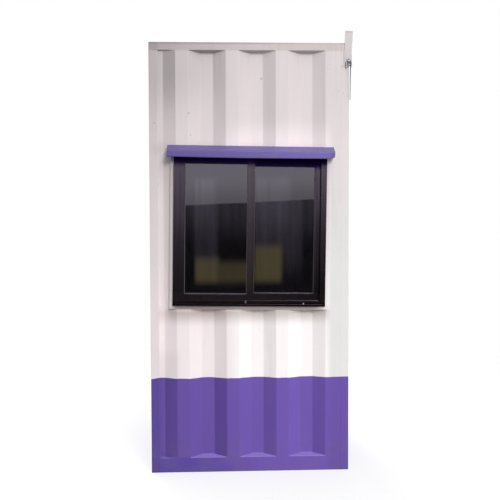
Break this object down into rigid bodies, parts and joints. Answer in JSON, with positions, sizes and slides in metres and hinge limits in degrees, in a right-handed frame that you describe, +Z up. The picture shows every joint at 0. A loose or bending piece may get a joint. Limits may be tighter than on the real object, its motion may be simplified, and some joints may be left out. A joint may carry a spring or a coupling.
{
  "type": "security guard booth",
  "caption": "One-person guard booth of white and purple stamped steel sheet, with a dark sliding window under a rain hood in front and a steel door at the back.",
  "frame": {"origin": "on the ground in the middle of the cabin's 1.2 m square footprint, on the underside of the middle floor joist", "axes": "+Z up; the front wall with its window faces -Y; +X to the right seen from the front"},
  "size_m": [1.222, 1.327, 2.6629],
  "materials": {
    "white_paint": "semi-gloss white enamel",
    "purple_paint": "semi-gloss purple enamel",
    "black_aluminium": "dark anodised",
    "tinted_glass": "dark tinted float glass",
    "lining_board": "faced lining board",
    "floor_board": "sealed floor board",
    "dark_steel": "dull dark steel",
    "bright_steel": "brushed"
  },
  "bodies": {
    "root": {"front_wall": "white_paint", "front_lining": "lining_board", "base_rail_front": "white_paint", "top_rail_front": "white_paint", "back_wall": "white_paint", "back_lining": "lining_board", "base_rail_back": "white_paint", "top_rail_back": "white_paint", "left_wall": "white_paint", "left_lining": "lining_board", "base_rail_left": "white_paint", "top_rail_left": "white_paint", "right_wall": "white_paint", "right_lining": "lining_board", "base_rail_right": "white_paint", "top_rail_right": "white_paint", "corner_post_front_left": "white_paint", "corner_post_front_right": "white_paint", "corner_post_back_left": "white_paint", "corner_post_back_right": "white_paint", "floor_joist_left": "dark_steel", "floor_joist_middle": "dark_steel", "floor_joist_right": "dark_steel", "floor_board": "floor_board", "ceiling_board": "lining_board", "roof_sheet": "purple_paint", "window_surround": "white_paint", "window_frame": "black_aluminium", "window_sash_left": "black_aluminium", "window_glass_left": "tinted_glass", "window_sash_right": "black_aluminium", "window_glass_right": "tinted_glass", "rain_hood": "purple_paint", "door_frame": "white_paint", "door_leaf": "white_paint", "door_lining": "lining_board", "door_hinges": "dark_steel", "door_handle": "bright_steel", "corner_strap": "white_paint", "strap_bolt": "dark_steel", "strap_link": "dark_steel"}
  },
  "joints": []
}
